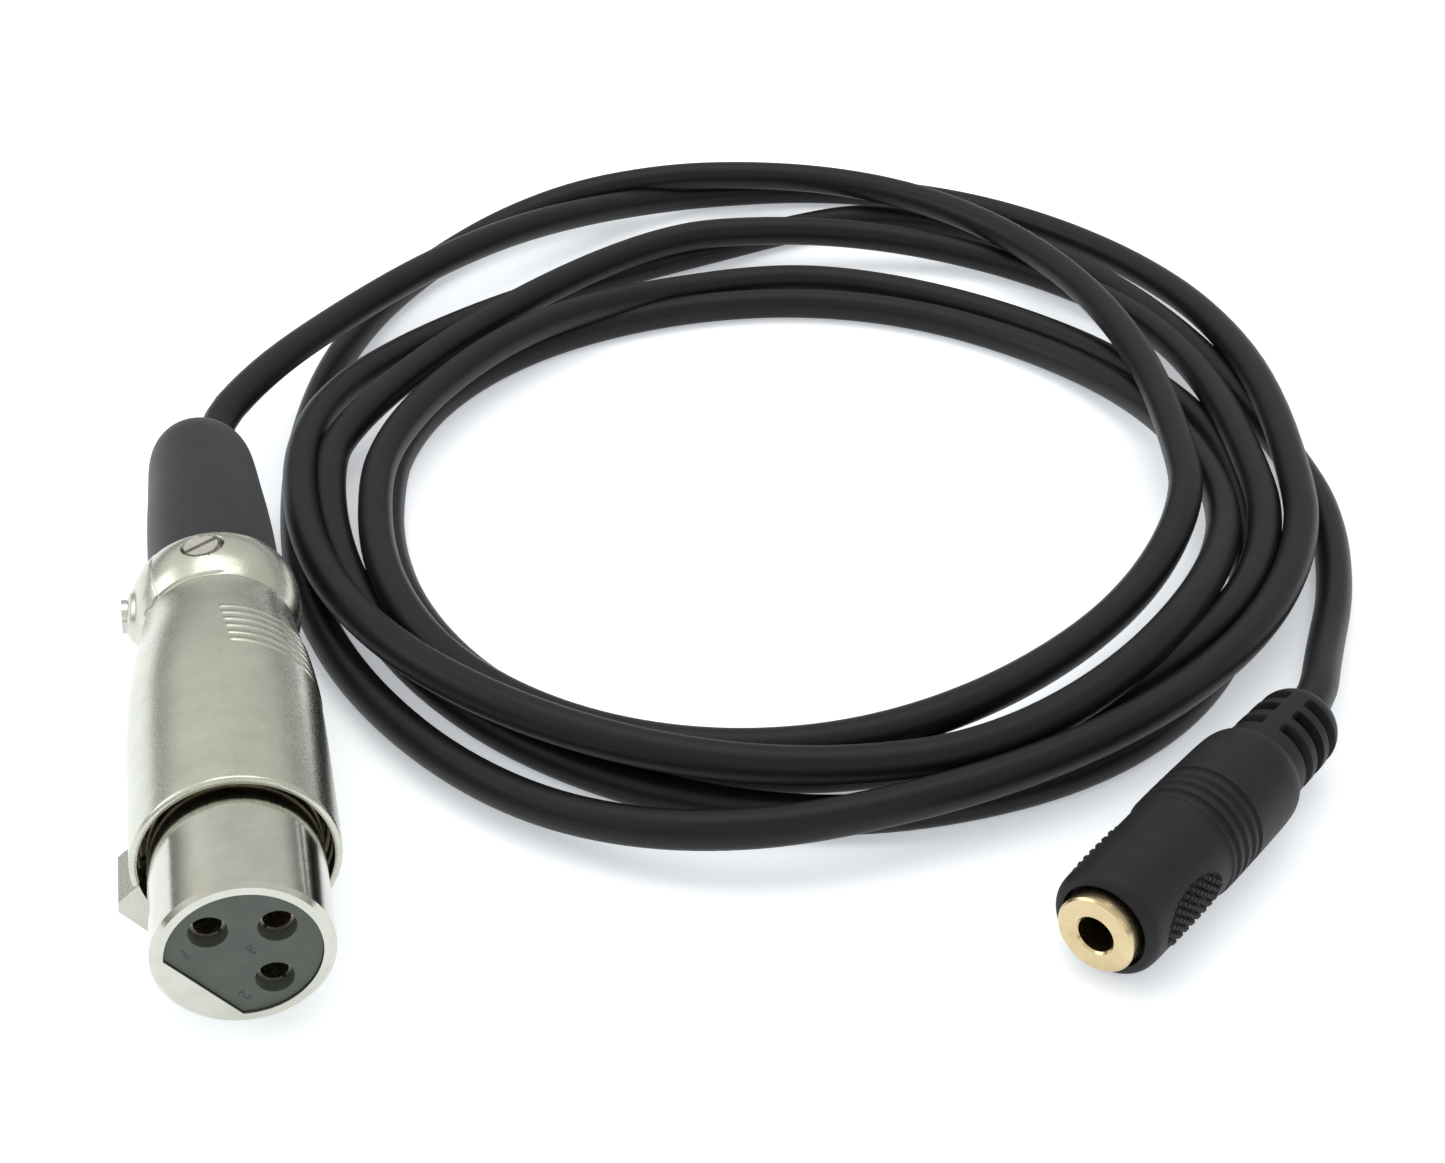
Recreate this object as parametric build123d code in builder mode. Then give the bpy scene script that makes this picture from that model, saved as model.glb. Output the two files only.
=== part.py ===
"""Microphone lead: a three-pole socket connector, a coiled cable and an inline jack socket.

Millimetres. The connector lies along Y with its mating face towards -Y, +Z is up, and the
floor it lies on is z = 0. The origin is under the middle of the connector. Distances along
the connector are counted from its mating face, and along the jack from its ring's face.
"""

import os
from math import acos, cos, pi, radians, sin, tan

from build123d import *

# ---- driving dimensions -------------------------------------------------------------
CABLE_DIAMETER = 4.0
CONNECTOR_LENGTH = 90.0

BARREL_RADIUS = 7.95
BARREL_BORE = 7.3
BARREL_END = 31.5
BARREL_FACE = 1.2
FACE_OPENING = 6.8
FACE_OPENING_FLAT = 4.9

SHELL_RADIUS = 9.5
SHELL_FRONT = 12.5
SHELL_END = 58.0
COLLAR_RADIUS = 8.7
COLLAR_BORE = 6.3

PIN_CIRCLE = 4.0
PIN_SPACING = 94.0
THIRD_PIN_ANGLE = 39.0
PIN_ANGLES = {
    "1": THIRD_PIN_ANGLE + PIN_SPACING,
    "2": THIRD_PIN_ANGLE - PIN_SPACING,
    "3": THIRD_PIN_ANGLE,
}
PIN_BORE = 1.25
CONTACT_RADIUS = 1.55
CONTACT_FRONT = 1.5
CONTACT_END = 27.5

LATCH_ANGLE = THIRD_PIN_ANGLE + 180.0
LATCH_REACH = 11.2
LATCH_HALF_WIDTH = 4.5
LATCH_EDGE = 0.8
LATCH_PIVOT_ALONG = 24.0
LATCH_PIVOT_OUT = 5.4
LATCH_PIN_RADIUS = 0.5
LEVER_HALF_WIDTH = 2.1
INSERT_END = 25.5
INSERT_RADIUS = 7.2
INSERT_FLAT = 3.6

CLAMP_SCREW_ALONG = 53.3
CLAMP_SCREW_ANGLES = (95.0, 176.0)
CLAMP_SCREW_OUT = (8.35, 9.7)
INSERT_SCREW_ANGLE = 350.0
INSERT_SCREW_ALONG = 20.0

BOOT_FRONT = 56.0
CABLE_START = 49.5

JACK_RADIUS = 5.9
JACK_LENGTH = 41.5
JACK_ANGLE = 38.5
JACK_RING_RADIUS = 3.9
JACK_BORE = 1.8
JACK_SLEEVE_RADIUS = 3.0
JACK_SLEEVE_END = 12.0
JACK_CAVITY = 4.25
JACK_CAVITY_END = 31.0
JACK_CABLE_START = 32.5

COIL_HEIGHT = 8.4

# ---- places that follow from them ------------------------------------------------------
lean = radians(LATCH_ANGLE)
latch_low = -LATCH_REACH * sin(lean) - (LATCH_HALF_WIDTH - LATCH_EDGE) * cos(lean)
latch_left = -(LATCH_REACH - LATCH_EDGE) * cos(lean) - LATCH_HALF_WIDTH * sin(lean)
axis_x = (latch_left - SHELL_RADIUS) / 2
axis_z = latch_low
face_y = -CONNECTOR_LENGTH / 2

face_centre = Vector(axis_x, face_y, axis_z)
front_plane = Plane(origin=face_centre, x_dir=(1, 0, 0), z_dir=(0, -1, 0))
profile_plane = Plane(origin=face_centre)
connector_axis = Axis(face_centre, (0, 1, 0))

latch_out = Vector(cos(lean), 0, sin(lean))
latch_side = latch_out.cross(Vector(0, 1, 0)) * -1
latch_plane = Plane(origin=face_centre, x_dir=(0, 1, 0), z_dir=latch_side)

coil_middle = (axis_x + 69.6, face_y + 87.0)
coil_outside = (63.4, 79.5)
coil_hole_middle = (axis_x + 67.0, face_y + 74.0)
coil_hole = (46.0, 47.0)

jack_face = Vector(axis_x + 74.0, face_y - 9.7, JACK_RADIUS)
jack_turn = radians(JACK_ANGLE)
jack_along = Vector(cos(jack_turn), sin(jack_turn), 0)
jack_across = Vector(sin(jack_turn), -cos(jack_turn), 0)
jack_profile_plane = Plane(origin=jack_face, x_dir=jack_across, z_dir=(0, 0, 1))
jack_section_plane = Plane(origin=jack_face, x_dir=jack_across, z_dir=jack_along * -1)
jack_axis = Axis(jack_face, jack_along)

# The cable's route outside the coil, counted from the connector's axis and mating face.
START_ROUTE = (
    (0.0, CABLE_START, axis_z),
    (0.0, 68.0, axis_z),
    (0.0, 89.5, axis_z),
    (7.2, 104.0, 10.2),
    (18.5, 120.5, 8.4),
)
END_ROUTE = (
    (129.8, 70.0, 2.0),
    (128.3, 56.5, 2.0),
    (122.2, 41.3, 2.1),
    (115.0, 29.6, 3.0),
)
JACK_EXIT_ALONG = 43.5


# ---- helpers -------------------------------------------------------------------------
def section(along):
    """The plane across the connector at a distance behind its mating face."""
    return front_plane.offset(-along)


def jack_section(along):
    """The plane across the jack at a distance behind its ring's face."""
    return jack_section_plane.offset(-along)


def cut_disc(radius, flat):
    """A disc cut off flat on the side of the latch."""
    with BuildSketch() as disc:
        Circle(radius)
        with PolarLocations(flat + radius, 1, start_angle=LATCH_ANGLE):
            Rectangle(2 * radius, 2 * radius, mode=Mode.SUBTRACT)
    return disc.sketch


def radial_plane(angle, along, out):
    """A plane facing out from the connector's axis, at an angle counted from +X."""
    turn = radians(angle)
    outward = Vector(cos(turn), 0, sin(turn))
    centre = face_centre + Vector(0, along, 0) + outward * out
    return Plane(origin=centre, x_dir=(0, 1, 0), z_dir=outward)


def jack_point(along, across=0.0, up=0.0):
    """A point at a distance behind the jack's ring."""
    return jack_face + jack_along * along + jack_across * across + Vector(0, 0, up)


def arc_radii(points):
    """The largest round for each corner that leaves a tenth of the shorter run straight."""
    radii = []
    for before, corner, after in zip(points, points[1:], points[2:]):
        run_in = corner - before
        run_out = after - corner
        turn = acos(max(-1.0, min(1.0, run_in.normalized().dot(run_out.normalized()))))
        radii.append(0.45 * min(run_in.length, run_out.length) / tan(turn / 2))
    return radii


def finish(builder, name):
    """Label a piece and write it to its own file."""
    builder.part.label = name
    export_step(builder.part, f"parts/{name}.step")


os.makedirs("parts", exist_ok=True)

# ---- front barrel --------------------------------------------------------------------
LATCH_SLOT = LEVER_HALF_WIDTH + 0.35
BARREL_CHAMFER = 0.4

with BuildPart() as front_barrel:
    with BuildSketch(profile_plane):
        with BuildLine():
            Polyline(
                (0, 0),
                (BARREL_RADIUS - BARREL_CHAMFER, 0),
                (BARREL_RADIUS, BARREL_CHAMFER),
                (BARREL_RADIUS, BARREL_END),
                (BARREL_BORE, BARREL_END),
                (BARREL_BORE, BARREL_FACE),
                (0, BARREL_FACE),
                close=True,
            )
        make_face()
    revolve(axis=connector_axis)
    with BuildSketch(front_plane):
        add(cut_disc(FACE_OPENING, FACE_OPENING_FLAT))
    extrude(amount=-BARREL_FACE, mode=Mode.SUBTRACT)
    with BuildSketch(latch_plane):
        with BuildLine():
            Polyline((3.4, 6.2), (BARREL_END, 6.2), (BARREL_END, 9), (3.4, 9), close=True)
        make_face()
    extrude(amount=LATCH_SLOT, both=True, mode=Mode.SUBTRACT)
    with BuildSketch(radial_plane(INSERT_SCREW_ANGLE, INSERT_SCREW_ALONG, 0)):
        Circle(1.0)
    extrude(amount=SHELL_RADIUS, mode=Mode.SUBTRACT)
finish(front_barrel, "front_barrel")

# ---- insert that holds the three contacts -------------------------------------------
INSERT_FRONT = 0.3
SPRING_ALONG = 14.0
SPRING_POCKET_FLOOR = 2.2
EAR_INSIDE = 2.4
EAR_OUTSIDE = 3.3

with BuildPart() as insert_block:
    with BuildSketch(section(INSERT_FRONT)):
        add(cut_disc(FACE_OPENING - 0.05, FACE_OPENING_FLAT - 0.05))
        for angle in PIN_ANGLES.values():
            with PolarLocations(PIN_CIRCLE, 1, start_angle=angle):
                Circle(CONTACT_RADIUS + 0.15, mode=Mode.SUBTRACT)
    extrude(amount=INSERT_FRONT - CONTACT_FRONT)
    with BuildSketch(section(CONTACT_FRONT)):
        add(cut_disc(INSERT_RADIUS, INSERT_FLAT))
        for angle in PIN_ANGLES.values():
            with PolarLocations(PIN_CIRCLE, 1, start_angle=angle):
                Circle(CONTACT_RADIUS + 0.05, mode=Mode.SUBTRACT)
    extrude(amount=CONTACT_FRONT - INSERT_END)
    with BuildSketch(latch_plane):
        with BuildLine():
            Polyline(
                (LATCH_PIVOT_ALONG - 1.5, INSERT_FLAT - 0.5),
                (LATCH_PIVOT_ALONG + 1.5, INSERT_FLAT - 0.5),
                (LATCH_PIVOT_ALONG + 1.5, LATCH_PIVOT_OUT + 0.9),
                (LATCH_PIVOT_ALONG - 1.5, LATCH_PIVOT_OUT + 0.9),
                close=True,
            )
        make_face()
        with Locations((LATCH_PIVOT_ALONG, LATCH_PIVOT_OUT)):
            Circle(LATCH_PIN_RADIUS + 0.03, mode=Mode.SUBTRACT)
    extrude(amount=EAR_OUTSIDE, both=True)
    with BuildSketch(latch_plane):
        with Locations((LATCH_PIVOT_ALONG, INSERT_FLAT + 2)):
            Rectangle(4, 4)
    extrude(amount=EAR_INSIDE, both=True, mode=Mode.SUBTRACT)
    with BuildSketch(radial_plane(LATCH_ANGLE, SPRING_ALONG, SPRING_POCKET_FLOOR)):
        Circle(1.45)
    extrude(amount=4, mode=Mode.SUBTRACT)
    with BuildSketch(radial_plane(INSERT_SCREW_ANGLE, INSERT_SCREW_ALONG, 5.2)):
        Circle(1.0)
    extrude(amount=4, mode=Mode.SUBTRACT)
finish(insert_block, "insert_block")

# ---- socket contacts --------------------------------------------------------------------
BORE_DEPTH = 10.0
STEM_FRONT = 12.5
CUP_FRONT = 21.5

for number, angle in PIN_ANGLES.items():
    with BuildPart() as contact:
        with BuildSketch(section(CONTACT_FRONT)):
            with PolarLocations(PIN_CIRCLE, 1, start_angle=angle):
                Circle(CONTACT_RADIUS)
        extrude(amount=CONTACT_FRONT - STEM_FRONT)
        with BuildSketch(section(STEM_FRONT)):
            with PolarLocations(PIN_CIRCLE, 1, start_angle=angle):
                Circle(1.2)
        extrude(amount=STEM_FRONT - CUP_FRONT)
        with BuildSketch(section(CUP_FRONT)):
            with PolarLocations(PIN_CIRCLE, 1, start_angle=angle):
                Circle(1.4)
        extrude(amount=CUP_FRONT - CONTACT_END)
        with BuildSketch(section(CONTACT_FRONT)):
            with PolarLocations(PIN_CIRCLE, 1, start_angle=angle):
                Circle(PIN_BORE)
        extrude(amount=-BORE_DEPTH, mode=Mode.SUBTRACT)
        with BuildSketch(section(CONTACT_FRONT)):
            with PolarLocations(PIN_CIRCLE, 1, start_angle=angle):
                Rectangle(2 * CONTACT_RADIUS + 0.2, 0.35)
        extrude(amount=-6, mode=Mode.SUBTRACT)
        with BuildSketch(section(CONTACT_END)):
            with PolarLocations(PIN_CIRCLE, 1, start_angle=angle):
                Circle(0.95)
        extrude(amount=4.5, mode=Mode.SUBTRACT)
    finish(contact, f"socket_contact_{number}")

# ---- outer shell -------------------------------------------------------------------------
RIB_COUNT = 6
RIB_FIRST = 33.6
RIB_PITCH = 1.3
RIB_HEIGHT = 0.12
RIB_WIDTH = 0.55
RIB_LEFT_CUT_ANGLE = 218.0
RIB_LOW_CUT_ANGLE = 238.0

with BuildPart() as outer_shell:
    with BuildSketch(profile_plane):
        with BuildLine():
            Polyline(
                (8.85, SHELL_FRONT),
                (SHELL_RADIUS - 0.2, SHELL_FRONT),
                (SHELL_RADIUS, SHELL_FRONT + 0.2),
                (SHELL_RADIUS, 20),
                (SHELL_RADIUS - 0.1, 32),
            )
            Spline(
                (SHELL_RADIUS - 0.1, 32),
                (8.95, 39),
                (8.15, 45),
                (7.8, 49.2),
                tangents=((-0.02, 1), (-0.06, 1)),
            )
            ThreePointArc((7.8, 49.2), (COLLAR_RADIUS, 53.6), (7.3, SHELL_END))
            Polyline(
                (7.3, SHELL_END),
                (COLLAR_BORE, SHELL_END),
                (COLLAR_BORE, 48.5),
                (6.9, 46),
                (6.9, BARREL_END + 0.5),
                (BARREL_RADIUS + 0.05, BARREL_END + 0.5),
                (BARREL_RADIUS + 0.05, 17.5),
                (8.3, 17.5),
                (8.3, 15.8),
                (8.6, 15.8),
                (8.6, 14.4),
                (8.85, 14.4),
                (8.85, SHELL_FRONT),
            )
        make_face()
    revolve(axis=connector_axis)
    for rib in range(RIB_COUNT):
        along = RIB_FIRST + rib * RIB_PITCH
        rib_radius = SHELL_RADIUS - 0.1 - 0.0092 * (along - 32) ** 2 + RIB_HEIGHT
        with BuildSketch(section(along)):
            Circle(rib_radius)
            Circle(rib_radius - 1.0, mode=Mode.SUBTRACT)
            with PolarLocations(15, 1, start_angle=RIB_LEFT_CUT_ANGLE - 3 * rib):
                Rectangle(30, 60, mode=Mode.SUBTRACT)
            with PolarLocations(15, 1, start_angle=RIB_LOW_CUT_ANGLE):
                Rectangle(30, 60, mode=Mode.SUBTRACT)
        extrude(amount=-RIB_WIDTH)
    with BuildSketch(latch_plane):
        with BuildLine():
            Polyline((12, 6.4), (19.6, 6.4), (19.6, 13), (12, 13), close=True)
        make_face()
    extrude(amount=LATCH_HALF_WIDTH + 0.35, both=True, mode=Mode.SUBTRACT)
    for angle in CLAMP_SCREW_ANGLES:
        with BuildSketch(radial_plane(angle, CLAMP_SCREW_ALONG, 7.4)):
            Circle(1.9)
        extrude(amount=4, mode=Mode.SUBTRACT)
        with BuildSketch(radial_plane(angle, CLAMP_SCREW_ALONG, 5)):
            Circle(1.05)
        extrude(amount=4, mode=Mode.SUBTRACT)
    with BuildSketch(radial_plane(INSERT_SCREW_ANGLE, INSERT_SCREW_ALONG, 7)):
        Circle(1.0)
    extrude(amount=4, mode=Mode.SUBTRACT)
    with BuildSketch(radial_plane(INSERT_SCREW_ANGLE, INSERT_SCREW_ALONG, 8.5)):
        Circle(1.75)
    extrude(amount=4, mode=Mode.SUBTRACT)
finish(outer_shell, "outer_shell")

# ---- latch: lever, pivot pin and spring ---------------------------------------------
LEVER_BOTTOM = 5.0
LEVER_TOP = 6.2
HOOK_OUT = 8.7
BUTTON_FRONT = 12.8
BUTTON_END = 19.2
BUTTON_UNDERSIDE = 8.95

with BuildPart() as latch_lever:
    with BuildSketch(section(BUTTON_FRONT)):
        with PolarLocations(0, 1, start_angle=LATCH_ANGLE):
            Polygon(
                (6.8, -LATCH_HALF_WIDTH),
                (LATCH_REACH - LATCH_EDGE, -LATCH_HALF_WIDTH),
                (LATCH_REACH, LATCH_EDGE - LATCH_HALF_WIDTH),
                (LATCH_REACH, LATCH_HALF_WIDTH - LATCH_EDGE),
                (LATCH_REACH - LATCH_EDGE, LATCH_HALF_WIDTH),
                (6.8, LATCH_HALF_WIDTH),
                align=None,
            )
    extrude(amount=BUTTON_FRONT - BUTTON_END)
    with BuildSketch(section(10)):
        Circle(BUTTON_UNDERSIDE)
    extrude(amount=-12, mode=Mode.SUBTRACT)
    with BuildSketch(latch_plane):
        with BuildLine():
            Polyline(
                (4.0, LEVER_BOTTOM),
                (LATCH_PIVOT_ALONG, LEVER_BOTTOM),
                (LATCH_PIVOT_ALONG, LEVER_TOP),
                (BUTTON_END, LEVER_TOP),
                (BUTTON_END, 9.6),
                (BUTTON_FRONT, 9.6),
                (BUTTON_FRONT, LEVER_TOP),
                (8.0, LEVER_TOP),
                (8.0, HOOK_OUT),
                (6.8, HOOK_OUT),
                (4.0, LEVER_TOP),
                close=True,
            )
        make_face()
        with Locations((LATCH_PIVOT_ALONG, LATCH_PIVOT_OUT)):
            Circle(1.0)
            Circle(LATCH_PIN_RADIUS + 0.05, mode=Mode.SUBTRACT)
    extrude(amount=LEVER_HALF_WIDTH, both=True)
finish(latch_lever, "latch_lever")

SPRING_WIRE = 0.3
SPRING_RADIUS = 1.05
SPRING_TURNS = 4

with BuildPart() as latch_pin:
    with BuildSketch(latch_plane):
        with Locations((LATCH_PIVOT_ALONG, LATCH_PIVOT_OUT)):
            Circle(LATCH_PIN_RADIUS)
    extrude(amount=EAR_OUTSIDE, both=True)
finish(latch_pin, "latch_pin")

spring_base = radial_plane(LATCH_ANGLE, SPRING_ALONG, SPRING_POCKET_FLOOR + SPRING_WIRE / 2 + 0.03)
spring_length = LEVER_BOTTOM - SPRING_POCKET_FLOOR - SPRING_WIRE - 0.06

with BuildPart() as latch_spring:
    with BuildLine() as spring_wire:
        Helix(
            pitch=spring_length / SPRING_TURNS,
            height=spring_length,
            radius=SPRING_RADIUS,
            center=spring_base.origin,
            direction=spring_base.z_dir,
        )
    with BuildSketch(Plane(origin=spring_wire.line @ 0, z_dir=spring_wire.line % 0)):
        Circle(SPRING_WIRE / 2)
    sweep(path=spring_wire.line)
finish(latch_spring, "latch_spring")

# ---- screws and cable clamp -----------------------------------------------------------
SCREW_SLOT = 0.55

with BuildPart() as clamp_screws:
    for angle, head_out in zip(CLAMP_SCREW_ANGLES, CLAMP_SCREW_OUT):
        with BuildSketch(radial_plane(angle, CLAMP_SCREW_ALONG, head_out)):
            Circle(1.75)
        extrude(amount=-0.85)
        with BuildSketch(radial_plane(angle, CLAMP_SCREW_ALONG, head_out - 0.85)):
            Circle(1.0)
        extrude(amount=-2.6)
        with BuildSketch(radial_plane(angle, CLAMP_SCREW_ALONG, head_out)):
            Rectangle(SCREW_SLOT, 4, rotation=28)
        extrude(amount=-0.5, mode=Mode.SUBTRACT)
finish(clamp_screws, "clamp_screws")

with BuildPart() as insert_screw:
    with BuildSketch(radial_plane(INSERT_SCREW_ANGLE, INSERT_SCREW_ALONG, 9.3)):
        Circle(1.7)
    extrude(amount=-0.75)
    with BuildSketch(radial_plane(INSERT_SCREW_ANGLE, INSERT_SCREW_ALONG, 8.55)):
        Circle(0.95)
    extrude(amount=-3.2)
    with BuildSketch(radial_plane(INSERT_SCREW_ANGLE, INSERT_SCREW_ALONG, 9.3)):
        Rectangle(4, 0.45)
    extrude(amount=-0.4, mode=Mode.SUBTRACT)
finish(insert_screw, "insert_screw")

CLAMP_FRONT = 51.2
CLAMP_END = 55.4
clamp_centre_angle = sum(CLAMP_SCREW_ANGLES) / 2

with BuildPart() as cable_clamp:
    with BuildSketch(section(CLAMP_FRONT)):
        Circle(4.9)
        Circle(CABLE_DIAMETER / 2 + 0.02, mode=Mode.SUBTRACT)
        with PolarLocations(-15, 1, start_angle=clamp_centre_angle):
            Rectangle(30, 60, mode=Mode.SUBTRACT)
    extrude(amount=CLAMP_FRONT - CLAMP_END)
finish(cable_clamp, "cable_clamp")

# ---- rubber boot ---------------------------------------------------------------------
with BuildPart() as rubber_boot:
    with BuildSketch(profile_plane):
        with BuildLine():
            Polyline(
                (CABLE_DIAMETER / 2, BOOT_FRONT),
                (COLLAR_BORE - 0.05, BOOT_FRONT),
                (COLLAR_BORE - 0.05, SHELL_END + 0.05),
                (6.9, SHELL_END + 0.05),
            )
            Spline(
                (6.9, SHELL_END + 0.05),
                (6.84, 67),
                (6.46, 76),
                (6.1, 83.5),
                tangents=((0, 1), (-0.06, 1)),
            )
            ThreePointArc((6.1, 83.5), (4.9, 88.1), (CABLE_DIAMETER / 2, CONNECTOR_LENGTH))
            Line((CABLE_DIAMETER / 2, CONNECTOR_LENGTH), (CABLE_DIAMETER / 2, BOOT_FRONT))
        make_face()
    revolve(axis=connector_axis)
finish(rubber_boot, "rubber_boot")

# ---- cable: core wires, loose stretches and the coil ------------------------------------
CORE_RADIUS = 0.6
cable_end = face_centre + Vector(0, CABLE_START, 0)


def route_points(route):
    """The route's points in the part's frame."""
    return [Vector(axis_x + x, face_y + y, z) for x, y, z in route]


for number, angle in PIN_ANGLES.items():
    turn = radians(angle)
    outward = Vector(cos(turn), 0, sin(turn))
    wire_points = [
        cable_end + outward * 1.0 - Vector(0, 0.1, 0),
        cable_end + outward * 1.0 - Vector(0, 4.5, 0),
        face_centre + Vector(0, CONTACT_END + 5.5, 0) + outward * PIN_CIRCLE,
        face_centre + Vector(0, CONTACT_END - 3.5, 0) + outward * PIN_CIRCLE,
    ]
    with BuildPart() as core_wire:
        with BuildLine() as wire_route:
            FilletPolyline(*wire_points, radius=arc_radii(wire_points))
        with BuildSketch(Plane(origin=wire_route.line @ 0, z_dir=wire_route.line % 0)):
            Circle(CORE_RADIUS)
        sweep(path=wire_route.line)
    finish(core_wire, f"core_wire_{number}")

start_points = route_points(START_ROUTE)
end_points = route_points(END_ROUTE)
end_points.append(jack_point(JACK_EXIT_ALONG))
end_points.append(jack_point(JACK_CABLE_START))

with BuildPart() as cable_start:
    with BuildLine() as start_line:
        Line(start_points[0], start_points[1])
        FilletPolyline(*start_points[1:], radius=arc_radii(start_points[1:]))
    with BuildSketch(Plane(origin=start_line.line @ 0, z_dir=start_line.line % 0)):
        Circle(CABLE_DIAMETER / 2)
    sweep(path=start_line.line)
finish(cable_start, "cable_start")

with BuildPart() as cable_end_stretch:
    with BuildLine() as end_line:
        FilletPolyline(*end_points, radius=arc_radii(end_points))
    with BuildSketch(Plane(origin=end_line.line @ 0, z_dir=end_line.line % 0)):
        Circle(CABLE_DIAMETER / 2)
    sweep(path=end_line.line)
finish(cable_end_stretch, "cable_end")

with BuildPart() as cable_coil:
    with BuildSketch():
        with Locations(coil_middle):
            Ellipse(*coil_outside)
        with Locations(coil_hole_middle):
            Ellipse(*coil_hole, mode=Mode.SUBTRACT)
    extrude(amount=COIL_HEIGHT)
    fillet(cable_coil.edges(), radius=CABLE_DIAMETER / 2)
finish(cable_coil, "cable_coil")

# ---- jack socket at the far end -------------------------------------------------------
GROOVE_FIRST = 14.8
GROOVE_PITCH = 1.35
GROOVE_COUNT = 4
SLOT_FIRST = 32.6
SLOT_PITCH = 2.6
SLOT_COUNT = 3

with BuildPart() as jack_overmould:
    with BuildSketch(jack_profile_plane):
        with BuildLine():
            Line((4.35, 1.5), (4.6, 1.5))
            ThreePointArc((4.6, 1.5), (5.15, 1.75), (5.4, 2.3))
            Polyline((5.4, 2.3), (5.5, 14.0), (JACK_RADIUS, 14.4), (JACK_RADIUS, 20.4), (5.75, 28.6))
            ThreePointArc((5.75, 28.6), (5.5, 29.8), (4.7, 30.4))
            Line((4.7, 30.4), (4.45, 38.6))
            ThreePointArc((4.45, 38.6), (3.9, 40.6), (CABLE_DIAMETER / 2, JACK_LENGTH))
            Polyline(
                (CABLE_DIAMETER / 2, JACK_LENGTH),
                (CABLE_DIAMETER / 2, JACK_CAVITY_END),
                (JACK_CAVITY, JACK_CAVITY_END),
                (JACK_CAVITY, JACK_SLEEVE_END),
                (JACK_SLEEVE_RADIUS + 0.05, JACK_SLEEVE_END),
                (JACK_SLEEVE_RADIUS + 0.05, 3.0),
                (4.35, 3.0),
                (4.35, 1.5),
            )
        make_face()
    revolve(axis=jack_axis)
    for groove in range(GROOVE_COUNT):
        with BuildSketch(jack_section(GROOVE_FIRST + groove * GROOVE_PITCH)):
            Circle(JACK_RADIUS + 0.2)
            Circle(JACK_RADIUS - 0.4, mode=Mode.SUBTRACT)
        extrude(amount=-0.5, mode=Mode.SUBTRACT)
    for slot in range(SLOT_COUNT):
        with BuildSketch(jack_section(SLOT_FIRST + slot * SLOT_PITCH)):
            Circle(JACK_RADIUS)
            Circle(2.7, mode=Mode.SUBTRACT)
            Rectangle(1.9, 2 * JACK_RADIUS, mode=Mode.SUBTRACT)
        extrude(amount=-1.2, mode=Mode.SUBTRACT)
finish(jack_overmould, "jack_overmould")

with BuildPart() as jack_sleeve:
    with BuildSketch(jack_section(0)):
        Circle(JACK_RING_RADIUS)
    extrude(amount=-2.0)
    with BuildSketch(jack_section(2.0)):
        Circle(JACK_SLEEVE_RADIUS)
    extrude(amount=2.0 - JACK_SLEEVE_END)
    with BuildSketch(jack_section(0)):
        Circle(JACK_BORE)
    extrude(amount=-JACK_SLEEVE_END, mode=Mode.SUBTRACT)
    with BuildSketch(jack_section(JACK_SLEEVE_END)):
        with Locations((0, JACK_SLEEVE_RADIUS - 0.3)):
            Rectangle(1.6, 0.4)
    extrude(amount=-8.0)
    front_edges = jack_sleeve.edges().filter_by(GeomType.CIRCLE).sort_by(jack_axis)[:2]
    chamfer(front_edges, length=0.2)
finish(jack_sleeve, "jack_sleeve")

INSULATOR_END = 18.0
SPRING_INSIDE = JACK_BORE + 0.15

with BuildPart() as jack_insulator:
    with BuildSketch(jack_section(JACK_SLEEVE_END + 0.1)):
        Circle(JACK_SLEEVE_RADIUS - 0.6)
        Circle(JACK_BORE, mode=Mode.SUBTRACT)
    extrude(amount=JACK_SLEEVE_END + 0.1 - 15.5)
    with BuildSketch(jack_section(15.5)):
        Circle(JACK_SLEEVE_RADIUS - 0.6)
    extrude(amount=15.5 - INSULATOR_END)
    with BuildSketch(jack_section(JACK_SLEEVE_END + 0.1)):
        Rectangle(8, 1.5)
        Circle(JACK_BORE + 0.1, mode=Mode.SUBTRACT)
    extrude(amount=JACK_SLEEVE_END + 0.1 - INSULATOR_END, mode=Mode.SUBTRACT)
finish(jack_insulator, "jack_insulator")

for name, side in (("jack_tip_spring", 1), ("jack_ring_spring", -1)):
    with BuildPart() as contact_spring:
        with BuildSketch(jack_section(JACK_SLEEVE_END + 0.4)):
            with Locations((side * (SPRING_INSIDE + 0.15), 0)):
                Rectangle(0.25, 1.3)
        extrude(amount=-9.6)
    finish(contact_spring, name)

with BuildPart() as jack_inner_mould:
    with BuildSketch(jack_section(JACK_SLEEVE_END + 0.1)):
        Circle(JACK_CAVITY - 0.05)
        Circle(3.3, mode=Mode.SUBTRACT)
    extrude(amount=JACK_SLEEVE_END + 0.1 - JACK_CAVITY_END)
finish(jack_inner_mould, "jack_inner_mould")

JACK_WIRES = {
    "jack_tip_wire": (1.0, 0.0, SPRING_INSIDE - 0.55, 0.0),
    "jack_ring_wire": (-1.0, 0.0, 0.55 - SPRING_INSIDE, 0.0),
    "jack_sleeve_wire": (0.0, 1.0, 0.0, 1.8),
}
for name, (from_across, from_up, to_across, to_up) in JACK_WIRES.items():
    wire_points = [
        jack_point(JACK_CABLE_START - 0.1, from_across, from_up),
        jack_point(JACK_CABLE_START - 4.0, from_across, from_up),
        jack_point(JACK_SLEEVE_END + 12.5, to_across, to_up),
        jack_point(JACK_SLEEVE_END + 6.5, to_across, to_up),
    ]
    with BuildPart() as jack_wire:
        with BuildLine() as wire_route:
            FilletPolyline(*wire_points, radius=arc_radii(wire_points))
        with BuildSketch(Plane(origin=wire_route.line @ 0, z_dir=wire_route.line % 0)):
            Circle(0.5)
        sweep(path=wire_route.line)
    finish(jack_wire, name)

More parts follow.
